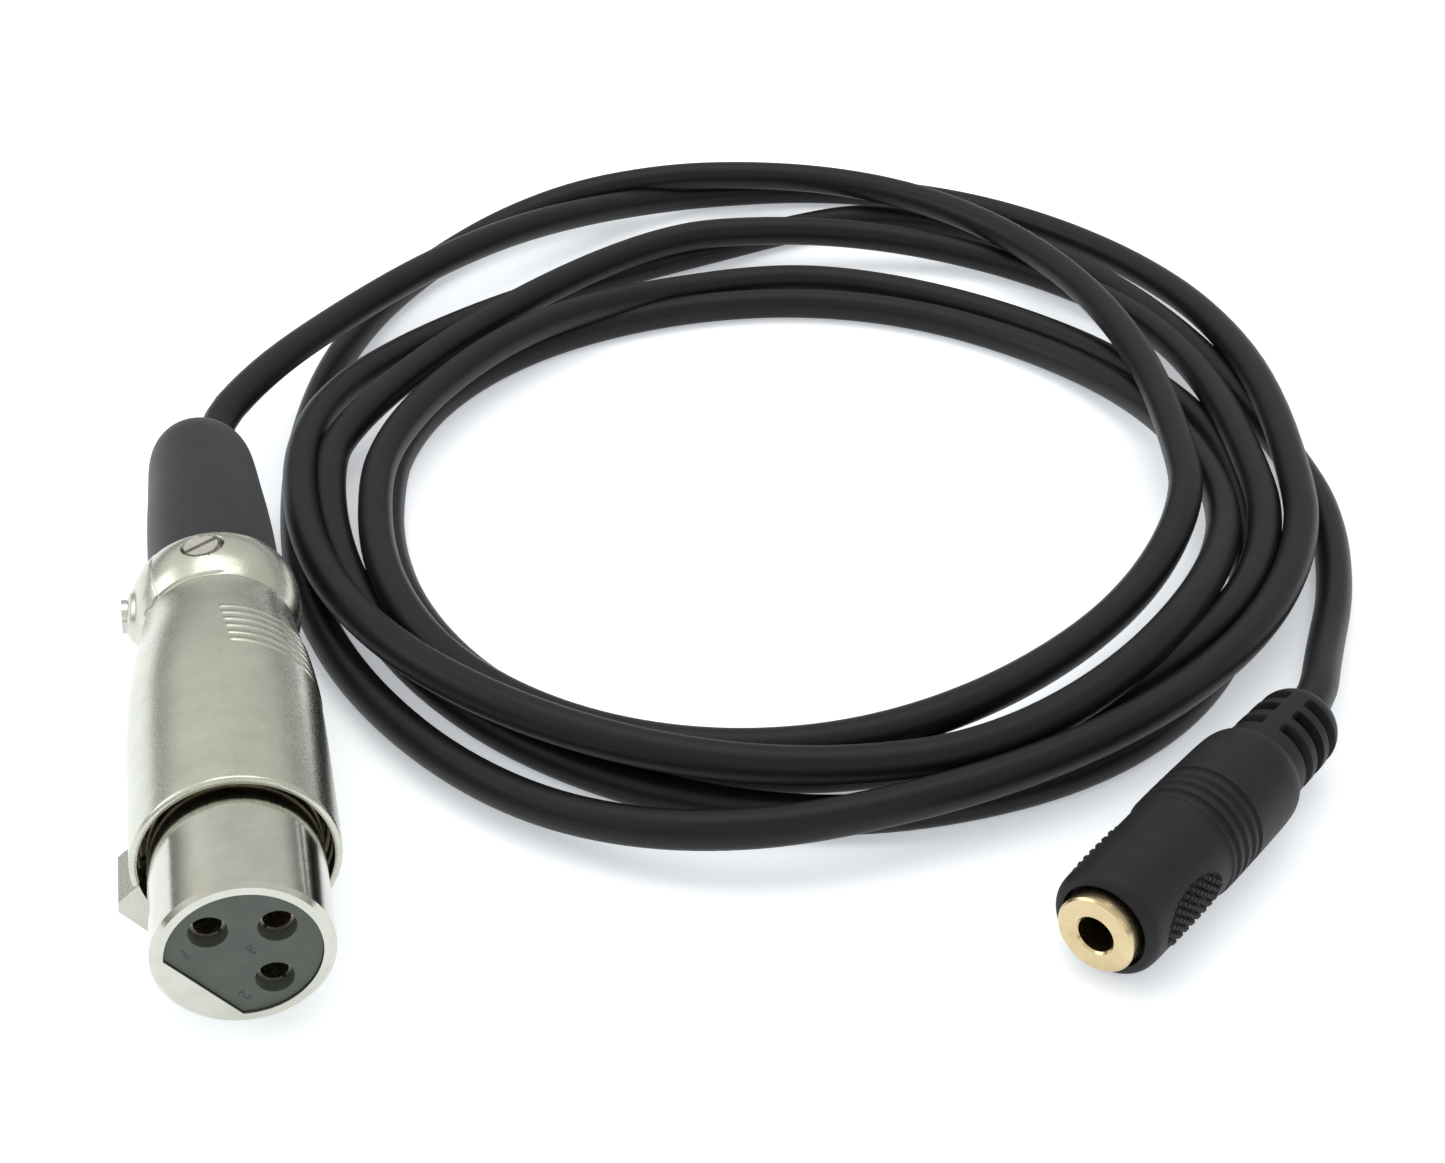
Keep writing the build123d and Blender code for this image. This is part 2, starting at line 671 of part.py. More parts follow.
# ---- what the cable's stretches bend and hold -------------------------------------------
cable_section = pi * CABLE_DIAMETER**2 / 4
for title, points, tube, line in (
    ("start", start_points[1:], cable_start, start_line),
    ("end", end_points, cable_end_stretch, end_line),
):
    radii = ", ".join(f"{radius:.0f}" for radius in arc_radii(points))
    ratio = tube.part.volume / (cable_section * line.wire().length)
    print(f"{title} stretch: radii {radii} mm, length {line.wire().length:.1f} mm, fill {ratio:.3f}")
print(f"axis x {axis_x:.3f}, axis z {axis_z:.3f}")
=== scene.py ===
"""Looks for a microphone lead: socket connector, coiled cable and inline jack socket.

Metres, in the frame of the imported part. Shapes that are turned round an axis are worked out
in millimetres from that axis and from the front face, as in the part's own source.
"""

from math import cos, hypot, pi, radians, sin

import bpy
import numpy as np
from mathutils import Matrix, Vector


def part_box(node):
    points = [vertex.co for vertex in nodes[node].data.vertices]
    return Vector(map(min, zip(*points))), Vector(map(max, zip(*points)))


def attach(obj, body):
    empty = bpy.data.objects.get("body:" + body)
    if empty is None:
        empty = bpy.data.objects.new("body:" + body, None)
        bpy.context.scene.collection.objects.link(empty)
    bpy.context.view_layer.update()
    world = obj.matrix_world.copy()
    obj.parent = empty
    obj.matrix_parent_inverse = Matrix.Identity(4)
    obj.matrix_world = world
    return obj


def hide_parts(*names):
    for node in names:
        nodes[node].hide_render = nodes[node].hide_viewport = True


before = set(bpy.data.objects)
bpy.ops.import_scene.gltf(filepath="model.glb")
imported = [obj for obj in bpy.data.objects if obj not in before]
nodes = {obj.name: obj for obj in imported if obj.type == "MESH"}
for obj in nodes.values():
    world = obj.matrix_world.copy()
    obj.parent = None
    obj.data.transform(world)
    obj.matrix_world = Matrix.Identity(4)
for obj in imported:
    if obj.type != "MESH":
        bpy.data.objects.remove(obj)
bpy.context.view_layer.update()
MM = 0.001

# ---- where the connector and the jack are ------------------------------------------------
barrel_low, barrel_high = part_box("front_barrel")
axis_x = (barrel_low.x + barrel_high.x) / 2
axis_z = (barrel_low.z + barrel_high.z) / 2
face_y = barrel_low.y
JACK_ANGLE = radians(38.5)
jack_along = Vector((cos(JACK_ANGLE), sin(JACK_ANGLE), 0))
jack_across = Vector((sin(JACK_ANGLE), -cos(JACK_ANGLE), 0))
jack_face = Vector((axis_x + 74.0 * MM, face_y - 9.7 * MM, 5.9 * MM))
connector_frame = Matrix(
    ((1, 0, 0, axis_x), (0, 1, 0, face_y), (0, 0, 1, axis_z), (0, 0, 0, 1))
)
jack_frame = Matrix(
    (
        (jack_across.x, jack_along.x, 0, jack_face.x),
        (jack_across.y, jack_along.y, 0, jack_face.y),
        (0, 0, 1, jack_face.z),
        (0, 0, 0, 1),
    )
)


# ---- camera -------------------------------------------------------------------------------
camera_data = bpy.data.cameras.new("camera")
camera_data.lens = 57.0
camera_data.sensor_width = 36.0
camera = bpy.data.objects.new("camera", camera_data)
camera.location = (axis_x + 0.00767, face_y - 0.15051, 0.14633)
camera.rotation_euler = (radians(56.06), radians(-0.1), radians(-12.8))
camera_data.clip_start = 0.005
bpy.context.scene.collection.objects.link(camera)
bpy.context.scene.camera = camera


# ---- materials --------------------------------------------------------------------------
def new_material(name):
    """A new material without nodes, with its node and link lists."""
    made = bpy.data.materials.new(name)
    made.use_nodes = True
    made.node_tree.nodes.clear()
    return made, made.node_tree.nodes, made.node_tree.links


def noise(nodes_, links, coords, scale, detail=3.0, rough=0.55, stretch=None):
    """The grey value of a noise texture. stretch scales its three axes apart."""
    texture = nodes_.new("ShaderNodeTexNoise")
    texture.inputs["Scale"].default_value = scale
    texture.inputs["Detail"].default_value = detail
    texture.inputs["Roughness"].default_value = rough
    source = coords
    if stretch:
        mapping = nodes_.new("ShaderNodeMapping")
        mapping.inputs["Scale"].default_value = stretch
        links.new(coords, mapping.inputs["Vector"])
        source = mapping.outputs["Vector"]
    links.new(source, texture.inputs["Vector"])
    return texture.outputs["Fac"]


def spread(nodes_, links, value, low, high, low_at=0.3, high_at=0.7):
    """The value mapped from low_at..high_at to low..high."""
    mapped = nodes_.new("ShaderNodeMapRange")
    mapped.inputs["From Min"].default_value = low_at
    mapped.inputs["From Max"].default_value = high_at
    mapped.inputs["To Min"].default_value = low
    mapped.inputs["To Max"].default_value = high
    links.new(value, mapped.inputs["Value"])
    return mapped.outputs["Result"]


def ramp(nodes_, links, value, stops):
    """The value turned into a colour. stops are (place, (red, green, blue))."""
    made = nodes_.new("ShaderNodeValToRGB")
    made.color_ramp.elements[0].position = stops[0][0]
    made.color_ramp.elements[0].color = (*stops[0][1], 1)
    made.color_ramp.elements[1].position = stops[-1][0]
    made.color_ramp.elements[1].color = (*stops[-1][1], 1)
    for place, colour in stops[1:-1]:
        made.color_ramp.elements.new(place).color = (*colour, 1)
    links.new(value, made.inputs["Fac"])
    return made.outputs["Color"]


def bump(nodes_, links, height, strength, distance, below=None):
    """A surface normal from a height, on top of the normal below."""
    made = nodes_.new("ShaderNodeBump")
    made.inputs["Strength"].default_value = strength
    made.inputs["Distance"].default_value = distance
    links.new(height, made.inputs["Height"])
    if below:
        links.new(below, made.inputs["Normal"])
    return made.outputs["Normal"]


def surface(
    name,
    dark,
    light,
    rough,
    metallic=0.0,
    blotch=180.0,
    grain=5200.0,
    grain_depth=0.00002,
    grain_strength=0.25,
    wave=None,
    wave_depth=0.00005,
    stretch=None,
    specular=0.5,
    sheen=0.0,
    pits=None,
):
    """A material whose colour, gloss and fine relief all vary over the surface.

    rough is the least and most roughness. pits are (density, size, colour) of small spots.
    """
    made, nodes_, links = new_material(name)
    coords = nodes_.new("ShaderNodeTexCoord").outputs["Object"]
    shader = nodes_.new("ShaderNodeBsdfPrincipled")
    out = nodes_.new("ShaderNodeOutputMaterial")
    links.new(shader.outputs["BSDF"], out.inputs["Surface"])
    shader.inputs["Metallic"].default_value = metallic
    shader.inputs["Specular IOR Level"].default_value = specular
    shader.inputs["Sheen Weight"].default_value = sheen
    shader.inputs["Sheen Roughness"].default_value = 0.4
    cloudy = noise(nodes_, links, coords, blotch, 4.0, 0.6, stretch)
    fine = noise(nodes_, links, coords, grain, 2.0, 0.5, stretch)
    colour = ramp(nodes_, links, cloudy, ((0.3, dark), (0.7, light)))
    if pits:
        speckle = nodes_.new("ShaderNodeTexVoronoi")
        speckle.inputs["Scale"].default_value = pits[0]
        links.new(coords, speckle.inputs["Vector"])
        spot = spread(nodes_, links, speckle.outputs["Distance"], 1.0, 0.0, 0.0, pits[1])
        mix = nodes_.new("ShaderNodeMix")
        mix.data_type = "RGBA"
        links.new(spot, mix.inputs["Factor"])
        links.new(colour, mix.inputs["A"])
        mix.inputs["B"].default_value = (*pits[2], 1)
        colour = mix.outputs["Result"]
    links.new(colour, shader.inputs["Base Color"])
    links.new(
        spread(nodes_, links, fine, rough[0], rough[1], 0.25, 0.75),
        shader.inputs["Roughness"],
    )
    normal = bump(nodes_, links, fine, grain_strength, grain_depth)
    if wave:
        swell = noise(nodes_, links, coords, wave, 2.0, 0.5)
        normal = bump(nodes_, links, swell, 0.5, wave_depth, normal)
    links.new(normal, shader.inputs["Normal"])
    return made


satin_nickel = surface(
    "satin_nickel",
    (0.515, 0.525, 0.45),
    (0.60, 0.61, 0.53),
    (0.2, 0.34),
    metallic=1.0,
    blotch=260.0,
    grain=6500.0,
    grain_depth=0.00003,
    grain_strength=0.35,
    wave=420.0,
    wave_depth=0.00003,
)
# Dark bronze for the rings inside the shell's rim: partly their own tone, partly painted shade for
# the recess.
shell_inside_bronze_and_shade = surface(
    "shell_inside_bronze_and_shade",
    (0.16, 0.135, 0.1),
    (0.3, 0.26, 0.2),
    (0.25, 0.4),
    metallic=1.0,
    blotch=500.0,
    grain=6000.0,
)
barrel_nickel = surface(
    "barrel_nickel",
    (0.53, 0.53, 0.465),
    (0.60, 0.60, 0.54),
    (0.1, 0.2),
    metallic=1.0,
    blotch=420.0,
    grain=4200.0,
    grain_depth=0.00002,
    grain_strength=0.2,
    wave=300.0,
    wave_depth=0.00004,
    pits=(900.0, 0.06, (0.34, 0.28, 0.2)),
)
zinc_steel = surface(
    "zinc_steel",
    (0.55, 0.54, 0.51),
    (0.7, 0.69, 0.66),
    (0.2, 0.35),
    metallic=1.0,
    blotch=700.0,
    grain=9000.0,
    wave=900.0,
)
insert_plastic = surface(
    "insert_plastic",
    (0.062, 0.074, 0.062),
    (0.08, 0.092, 0.078),
    (0.42, 0.56),
    blotch=500.0,
    grain=9000.0,
    grain_depth=0.00002,
    specular=0.4,
)
contact_metal = surface(
    "contact_metal",
    (0.45, 0.4, 0.3),
    (0.66, 0.6, 0.47),
    (0.22, 0.36),
    metallic=1.0,
    blotch=900.0,
    grain=8000.0,
)
boot_rubber = surface(
    "boot_rubber",
    (0.0125, 0.0142, 0.0152),
    (0.018, 0.0202, 0.021),
    (0.5, 0.66),
    blotch=300.0,
    grain=7500.0,
    grain_depth=0.00003,
    grain_strength=0.4,
    specular=0.38,
    sheen=0.1,
)
cable_jacket = surface(
    "cable_jacket",
    (0.0045, 0.0052, 0.006),
    (0.0062, 0.007, 0.008),
    (0.36, 0.48),
    blotch=220.0,
    grain=6000.0,
    grain_depth=0.000015,
    grain_strength=0.25,
    wave=260.0,
    wave_depth=0.00004,
    specular=0.24,
    pits=(320.0, 0.03, (0.05, 0.045, 0.04)),
)
jack_plastic = surface(
    "jack_plastic",
    (0.0052, 0.0056, 0.0072),
    (0.0082, 0.0087, 0.0106),
    (0.48, 0.64),
    blotch=350.0,
    grain=6000.0,
    grain_depth=0.00003,
    grain_strength=0.5,
    specular=0.3,
    pits=(420.0, 0.035, (0.1, 0.085, 0.065)),
)
pale_gold = surface(
    "pale_gold",
    (0.56, 0.44, 0.25),
    (0.66, 0.54, 0.33),
    (0.16, 0.28),
    metallic=1.0,
    blotch=500.0,
    grain=7000.0,
    pits=(700.0, 0.05, (0.45, 0.3, 0.15)),
)
natural_plastic = surface(
    "natural_plastic", (0.55, 0.54, 0.5), (0.68, 0.67, 0.62), (0.4, 0.5), blotch=400.0
)
core_paints = {
    "red": surface("core_red", (0.36, 0.02, 0.02), (0.5, 0.035, 0.03), (0.4, 0.5)),
    "white": surface("core_white", (0.65, 0.65, 0.62), (0.8, 0.8, 0.77), (0.4, 0.5)),
    "green": surface("core_green", (0.03, 0.17, 0.05), (0.05, 0.26, 0.08), (0.4, 0.5)),
}


def paint(piece, material):
    """Makes this the piece's only material."""
    piece.data.materials.clear()
    piece.data.materials.append(material)


PAINT = {
    "front_barrel": barrel_nickel,
    "latch_lever": satin_nickel,
    "latch_pin": zinc_steel,
    "latch_spring": zinc_steel,
    "clamp_screws": zinc_steel,
    "insert_screw": zinc_steel,
    "cable_clamp": zinc_steel,
    "insert_block": insert_plastic,
    "socket_contact_1": contact_metal,
    "socket_contact_2": contact_metal,
    "socket_contact_3": contact_metal,
    "core_wire_1": core_paints["red"],
    "core_wire_2": core_paints["white"],
    "core_wire_3": core_paints["green"],
    "jack_inner_mould": natural_plastic,
    "jack_sleeve": pale_gold,
    "jack_insulator": jack_plastic,
    "jack_tip_spring": contact_metal,
    "jack_ring_spring": contact_metal,
    "jack_tip_wire": core_paints["red"],
    "jack_ring_wire": core_paints["white"],
    "jack_sleeve_wire": core_paints["green"],
    "outer_shell": satin_nickel,
    "rubber_boot": boot_rubber,
    "jack_overmould": jack_plastic,
}
for node_name, material in PAINT.items():
    paint(nodes[node_name], material)


# ---- the cable ----------------------------------------------------------------------------
CABLE_DIAMETER = 0.004
# Counted from the connector's axis and mating face, as in the part's source.
START_ROUTE = (
    (-0.0001, 0.0680, axis_z),
    (-0.0007, 0.0890, axis_z - 0.0001),
    (0.0072, 0.1040, 0.0102),
    (0.0185, 0.1205, 0.0084),
)
END_ROUTE = (
    (0.1298, 0.0700, 0.0020),
    (0.1283, 0.0565, 0.0020),
    (0.1222, 0.0413, 0.0021),
    (0.1150, 0.0296, 0.0030),
)
# Where each quarter turn starts: x, y, height, height half way to the next, roundness, lean,
# in millimetres and degrees. They go round by the back, the right, the front and the left.
# Places, roundnesses and leans were fitted to the strands as they lie and then rounded.
COIL_STATIONS = (
    (0, 90, 10.8, 8.4, 0.27, 0),
    (77, 161, 2.1, 2.1, 0.75, 2),
    (124, 56, 6.2, 6.2, 0.55, -20),
    (55, 11, 5.9, 3.0, 0.55, 3),
    (9, 77, 2.0, 2.1, 0.60, -2),
    (70, 160, 5.9, 6.9, 0.70, -2),
    (112, 62, 7.7, 5.8, 0.45, -16),
    (58, 23, 5.5, 6.0, 0.65, 0),
    (19, 83, 5.7, 6.2, 0.45, -10),
    (75, 130, 2.8, 2.0, 0.50, 5),
    (121, 66, 2.0, 2.0, 0.60, -16),
    (63, 15, 2.0, 2.2, 0.55, -3),
    (14, 89, 5.5, 5.9, 0.30, -10),
    (73, 140, 5.9, 2.3, 0.80, -2),
    (121, 61, 5.3, 5.5, 0.60, -14),
    (62, 22, 2.0, 2.0, 0.60, -2),
    (21, 89, 2.0, 2.0, 0.55, -13),
    (68, 125, 2.0, 2.0, 0.60, 2),
    (116, 62, 4.8, 7.6, 0.45, -9),
    (66, 17, 6.6, 8.2, 0.60, 0),
    (10, 84, 6.3, 3.3, 0.60, -4),
    (87, 147, 2.0, 2.0, 0.60, 19),
    (130, 88, 2.0, 2.0, 0.55, 1),
)
POINTS_PER_QUARTER = 8


def smooth(t):
    """From 0 to 1 with level ends."""
    return t * t * (3 - 2 * t)


def quarter_turn(here, there, leaves_along_y):
    """Points of one quarter turn of the coil, without its last."""
    x, y, height, half_way, roundness, lean = here
    run_x, run_y = there[0] - x, there[1] - y
    first = (0, run_y) if leaves_along_y else (run_x, 0)
    last = (run_x, 0) if leaves_along_y else (0, run_y)
    handles = []
    for (dx, dy), turn in ((first, radians(lean)), (last, radians(there[5]))):
        handles.append((dx * cos(turn) - dy * sin(turn), dx * sin(turn) + dy * cos(turn)))
    a = (x + handles[0][0] * roundness, y + handles[0][1] * roundness)
    b = (there[0] - handles[1][0] * roundness, there[1] - handles[1][1] * roundness)
    points = []
    for step in range(POINTS_PER_QUARTER):
        t = step / POINTS_PER_QUARTER
        weights = ((1 - t) ** 3, 3 * (1 - t) ** 2 * t, 3 * (1 - t) * t * t, t**3)
        places = ((x, y), a, b, there[:2])
        px = sum(w * p[0] for w, p in zip(weights, places))
        py = sum(w * p[1] for w, p in zip(weights, places))
        if t < 0.5:
            pz = height + (half_way - height) * smooth(2 * t)
        else:
            pz = half_way + (there[2] - half_way) * smooth(2 * t - 1)
        points.append((px * MM, py * MM, pz * MM))
    return points


# The cable joins the first quarter turn half way round it.
JOINS_AT = POINTS_PER_QUARTER // 2
# Inside the jack the cable ends at these distances from the jack's face.
JACK_ENTRY = (43.5, 32.5)
route = list(START_ROUTE)
for index, (here, there) in enumerate(zip(COIL_STATIONS, COIL_STATIONS[1:])):
    turn_points = quarter_turn(here, there, index % 2 == 0)
    route += turn_points[JOINS_AT:] if index == 0 else turn_points
route.append(tuple(v * MM for v in COIL_STATIONS[-1][:3]))
route += END_ROUTE
route = [(axis_x + x, face_y + y, z) for x, y, z in route]
for along in JACK_ENTRY:
    route.append(tuple(jack_face + jack_along * along * MM))

cable_curve = bpy.data.curves.new("cable", "CURVE")
cable_curve.dimensions = "3D"
cable_spline = cable_curve.splines.new("NURBS")
cable_spline.points.add(len(route) - 1)
for point, place in zip(cable_spline.points, route):
    point.co = (*place, 1)
cable_spline.order_u = 3
cable_spline.use_endpoint_u = True
cable_spline.resolution_u = 6
cable_curve.bevel_depth = CABLE_DIAMETER / 2
cable_curve.bevel_resolution = 7
cable_curve.use_fill_caps = True
cable = bpy.data.objects.new("cable", cable_curve)
bpy.context.scene.collection.objects.link(cable)
paint(cable, cable_jacket)
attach(cable, "connector")
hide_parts("cable_start", "cable_coil", "cable_end")


# ---- turned pieces ------------------------------------------------------------------------
def resample(profile, step):
    """The profile's points (along, radius), with more between them no further apart than step."""
    fine = []
    for (s0, r0), (s1, r1) in zip(profile, profile[1:]):
        count = max(1, round(hypot(s1 - s0, r1 - r0) / step))
        for k in range(count):
            fine.append((s0 + (s1 - s0) * k / count, r0 + (r1 - r0) * k / count))
    fine.append(profile[-1])
    return fine


def arc(centre, radius, start, end, count=8):
    """Points (along, radius) on an arc in a profile. Angles are in degrees, 0 is along."""
    points = []
    for k in range(count + 1):
        turn = radians(start + (end - start) * k / count)
        points.append((centre[0] + radius * cos(turn), centre[1] + radius * sin(turn)))
    return points


def bend(points, count=6):
    """A smooth curve through the points, by Catmull-Rom."""
    padded = [points[0], *points, points[-1]]
    out = []
    for p0, p1, p2, p3 in zip(padded, padded[1:], padded[2:], padded[3:]):
        for k in range(count):
            t = k / count
            out.append(
                tuple(
                    0.5
                    * (
                        2 * b
                        + (c - a) * t
                        + (2 * a - 5 * b + 4 * c - d) * t * t
                        + (3 * b - a - 3 * c + d) * t**3
                    )
                    for a, b, c, d in zip(p0, p1, p2, p3)
                )
            )
    out.append(points[-1])
    return out


def turned(name, profile, place, segments, relief=None, closed=True):
    """A mesh turned round the place's Y axis. relief moves a point: (along, angle, radius)."""
    rows = np.array(profile, float)
    if closed and hypot(*(rows[0] - rows[-1])) < 1e-6:
        rows = rows[:-1]
    angles = np.linspace(0, 2 * pi, segments, endpoint=False)
    along = np.repeat(rows[:, 0], segments)
    radius = np.repeat(rows[:, 1], segments)
    angle = np.tile(angles, len(rows))
    if relief:
        along, radius, *turned_to = relief(along, angle, radius)
        angle = turned_to[0] if turned_to else angle
    points = np.column_stack((radius * np.cos(angle), along, radius * np.sin(angle))) * MM
    world = points @ np.array(place.to_3x3()).T + np.array(place.translation)
    count = len(rows)
    faces = []
    for row in range(count if closed else count - 1):
        low = row * segments
        high = (row + 1) % count * segments
        for k in range(segments):
            n = (k + 1) % segments
            faces.append((low + k, high + k, high + n, low + n))
    mesh = bpy.data.meshes.new(name)
    mesh.from_pydata(world.tolist(), [], faces)
    mesh.polygons.foreach_set("use_smooth", [True] * len(mesh.polygons))
    mesh.update()
    piece = bpy.data.objects.new(name, mesh)
    bpy.context.scene.collection.objects.link(piece)
    return piece


def bump_at(distance, width):
    """1 in the middle of a round-topped ridge, 0 from width away."""
    inside = np.clip(1 - (distance / width) ** 2, 0, 1)
    return np.sqrt(inside)


def step_at(value, edge, softness):
    """0 below the edge, 1 above it."""
    t = np.clip((value - edge) / softness + 0.5, 0, 1)
    return t * t * (3 - 2 * t)


def turn_from(angle, degrees_):
    """The angle from a direction, in radians from -pi to pi."""
    return (angle - radians(degrees_) + pi) % (2 * pi) - pi


LATCH = 219.0
# The shell: all in millimetres from the mating face or the axis, and degrees about the axis.
RIBS = [34.3 + 1.3 * k for k in range(6)]
RIB_RISE = 0.11
SHELL_OUTSIDE_FROM = 7.55
COLLAR_RADIUS = 8.5
SCREW_ALONG = 53.3
TOP_SCREW_ANGLE = 94
SIDE_SCREW_ANGLE = 174
SCREW_FLOOR = 7.65
BOSS_TOP = 9.2
GROOVE_ALONG = 48.7
GROOVE_DEPTH = 0.28
SEAM_ANGLE = 134
SEAM_RISE = 0.1


def shell_relief(along, angle, radius):
    """Six raised lines, the recess of the top screw, the boss of the side screw and a seam."""
    outside = radius > SHELL_OUTSIDE_FROM
    from_top = turn_from(angle, 90)
    for k, rib in enumerate(RIBS):
        left_end = radians(-9.5 + 0.95 * k)
        reach = step_at(-from_top, -left_end, 0.03) * step_at(from_top, radians(-160), 0.1)
        radius = radius + np.where(
            outside, RIB_RISE * bump_at(np.abs(along - rib - 0.3), 0.26) * reach, 0
        )
    across = COLLAR_RADIUS * turn_from(angle, TOP_SCREW_ANGLE)
    away = np.hypot(across, along - SCREW_ALONG)
    floor = step_at(-away, -2.1, 0.3)
    radius = np.where(
        outside, radius * (1 - floor) + np.minimum(radius, SCREW_FLOOR) * floor, radius
    )
    across = COLLAR_RADIUS * turn_from(angle, SIDE_SCREW_ANGLE)
    away = np.hypot(across, along - SCREW_ALONG + 0.6)
    flare = step_at(-away, -2.5, 1.5)
    radius = np.where(
        outside, radius * (1 - flare) + np.maximum(radius, BOSS_TOP) * flare, radius
    )
    below_boss = outside & (radius < 9)
    round_top = step_at(-np.abs(turn_from(angle, 116)), -0.6, 0.25)
    line = bump_at(np.abs(along - GROOVE_ALONG), 0.28) * round_top
    radius = radius - np.where(below_boss, GROOVE_DEPTH * line, 0)
    seam = step_at(along, 48.4, 0.25) * step_at(turn_from(angle, SEAM_ANGLE), 0, 0.03)
    below_boss = outside & (radius < 9)
    radius = radius + np.where(below_boss, SEAM_RISE * seam, 0)
    # The back edge is cut away a little over the top.
    over_top = np.clip(np.sin(angle), 0, 1) ** 1.5
    along = along - 1.3 * over_top * np.clip((along - 53.5) / 4.5, 0, 1)
    return along, radius


shell_outside = [
    *arc((12.95, 9.05), 0.45, 215, 100, 8),
    (14.5, 9.52),
    (20.0, 9.5),
    *bend([(26.0, 9.48), (32.0, 9.4), (36.0, 9.22), (39.0, 8.97), (42.0, 8.62), (45.0, 8.17),
           (47.2, 7.88), (48.2, 7.8)]),
    *bend([(48.5, 7.72), (48.9, 7.84), (49.8, 8.15), (51.2, 8.5), (53.3, 8.68), (55.4, 8.5),
           (57.0, 8.05), (57.75, 7.6), (58.0, 7.2)]),
]
shell_inside = [
    (58.0, 6.35), (48.5, 6.32), (46.0, 6.9), (32.0, 6.9), (32.0, 8.0), (17.6, 8.0),
    (17.5, 8.3), (15.9, 8.3), (15.8, 8.6), (14.5, 8.6), (14.4, 8.78), (13.1, 8.8),
]
shell = turned(
    "outer_shell_skin",
    resample(shell_outside, 0.16) + resample(shell_inside, 0.9) + [shell_outside[0]],
    connector_frame,
    420,
    shell_relief,
)


def cut_box(piece, place, low, high):
    """Cuts a box out of a piece. The box's corners are in millimetres in the place's frame."""
    corners = [
        (x, y, z)
        for x in (low[0], high[0])
        for y in (low[1], high[1])
        for z in (low[2], high[2])
    ]
    mesh = bpy.data.meshes.new("cutter")
    mesh.from_pydata(
        [tuple(place @ (Vector(c) * MM)) for c in corners],
        [],
        [(0, 1, 3, 2), (4, 6, 7, 5), (0, 4, 5, 1), (2, 3, 7, 6), (0, 2, 6, 4), (1, 5, 7, 3)],
    )
    cutter = bpy.data.objects.new("cutter", mesh)
    bpy.context.scene.collection.objects.link(cutter)
    modifier = piece.modifiers.new("cut", "BOOLEAN")
    modifier.object = cutter
    modifier.operation = "DIFFERENCE"
    modifier.solver = "EXACT"
    apply_modifiers(piece)
    bpy.data.objects.remove(cutter)
    bpy.data.meshes.remove(mesh)


def apply_modifiers(piece):
    """Puts the result of the piece's modifiers into its mesh."""
    bpy.context.view_layer.update()
    evaluated = piece.evaluated_get(bpy.context.evaluated_depsgraph_get())
    mesh = bpy.data.meshes.new_from_object(evaluated)
    piece.modifiers.clear()
    piece.data = mesh


# The latch's own frame: X across it, Y along the connector, Z out to the latch.
lean = radians(LATCH)
latch_frame = connector_frame @ Matrix(
    ((sin(lean), 0, cos(lean), 0), (0, 1, 0, 0), (-cos(lean), 0, sin(lean), 0), (0, 0, 0, 1))
)
cut_box(shell, latch_frame, (-4.85, 11.5, 6.6), (4.85, 19.6, 13.0))


def shade_by_angle(piece, degrees_=35):
    """Smooth shading, with edges sharper than this left sharp."""
    mesh = piece.data
    mesh.polygons.foreach_set("use_smooth", [True] * len(mesh.polygons))
    mesh.set_sharp_from_angle(angle=radians(degrees_))


shade_by_angle(shell)
paint(shell, satin_nickel)
# The rings inside the front of the rim take a second material, dark bronze that is partly painted
# shade.
shell.data.materials.append(shell_inside_bronze_and_shade)
for face in shell.data.polygons:
    out_from_axis = hypot(face.center.x - axis_x, face.center.z - axis_z)
    along_axis = face.center.y - face_y
    face.material_index = int(out_from_axis < 8.83 * MM and along_axis < 0.03)
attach(shell, "connector")
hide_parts("outer_shell")


# ---- rubber boot --------------------------------------------------------------------------
BOOT_STRAIGHT_TO = 60
BOOT_LEAN_OVER = 28
BOOT_LEFT = 0.7
BOOT_DOWN = 0.1
boot_outside = bend(
    [(56.2, 6.75), (58.6, 6.92), (62.0, 6.88), (67.0, 6.78), (71.5, 6.6), (76.0, 6.33),
     (80.0, 6.12), (82.6, 5.93), (84.6, 5.62), (86.2, 5.05), (87.4, 4.1), (88.1, 3.1), (88.3, 2.4)]
)


def droop(along, angle, radius):
    """Lets the boot's free end hang a little down and to the left."""
    share = np.clip((along - BOOT_STRAIGHT_TO) / BOOT_LEAN_OVER, 0, 1) ** 1.15
    x = radius * np.cos(angle) - BOOT_LEFT * share
    z = radius * np.sin(angle) - BOOT_DOWN * share
    return along, np.hypot(x, z), np.arctan2(z, x)


boot = turned(
    "rubber_boot_skin",
    resample(boot_outside, 0.35) + [(88.0, 2.02), (56.0, 2.02), (56.2, 6.75)],
    connector_frame,
    160,
    droop,
)
shade_by_angle(boot, 40)
paint(boot, boot_rubber)
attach(boot, "connector")
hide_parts("rubber_boot")


# ---- jack body --------------------------------------------------------------------------
# Millimetres from the jack's own face and axis.
GROOVES = [16.3 + 1.4 * k for k in range(4)]
GROOVE_CUT = 0.42
SLOTS = [32.9 + 2.6 * k for k in range(3)]
SLOT_FLOOR = 2.95
KNURL_MIDDLE = 8.6
KNURL_PITCH = 1.12


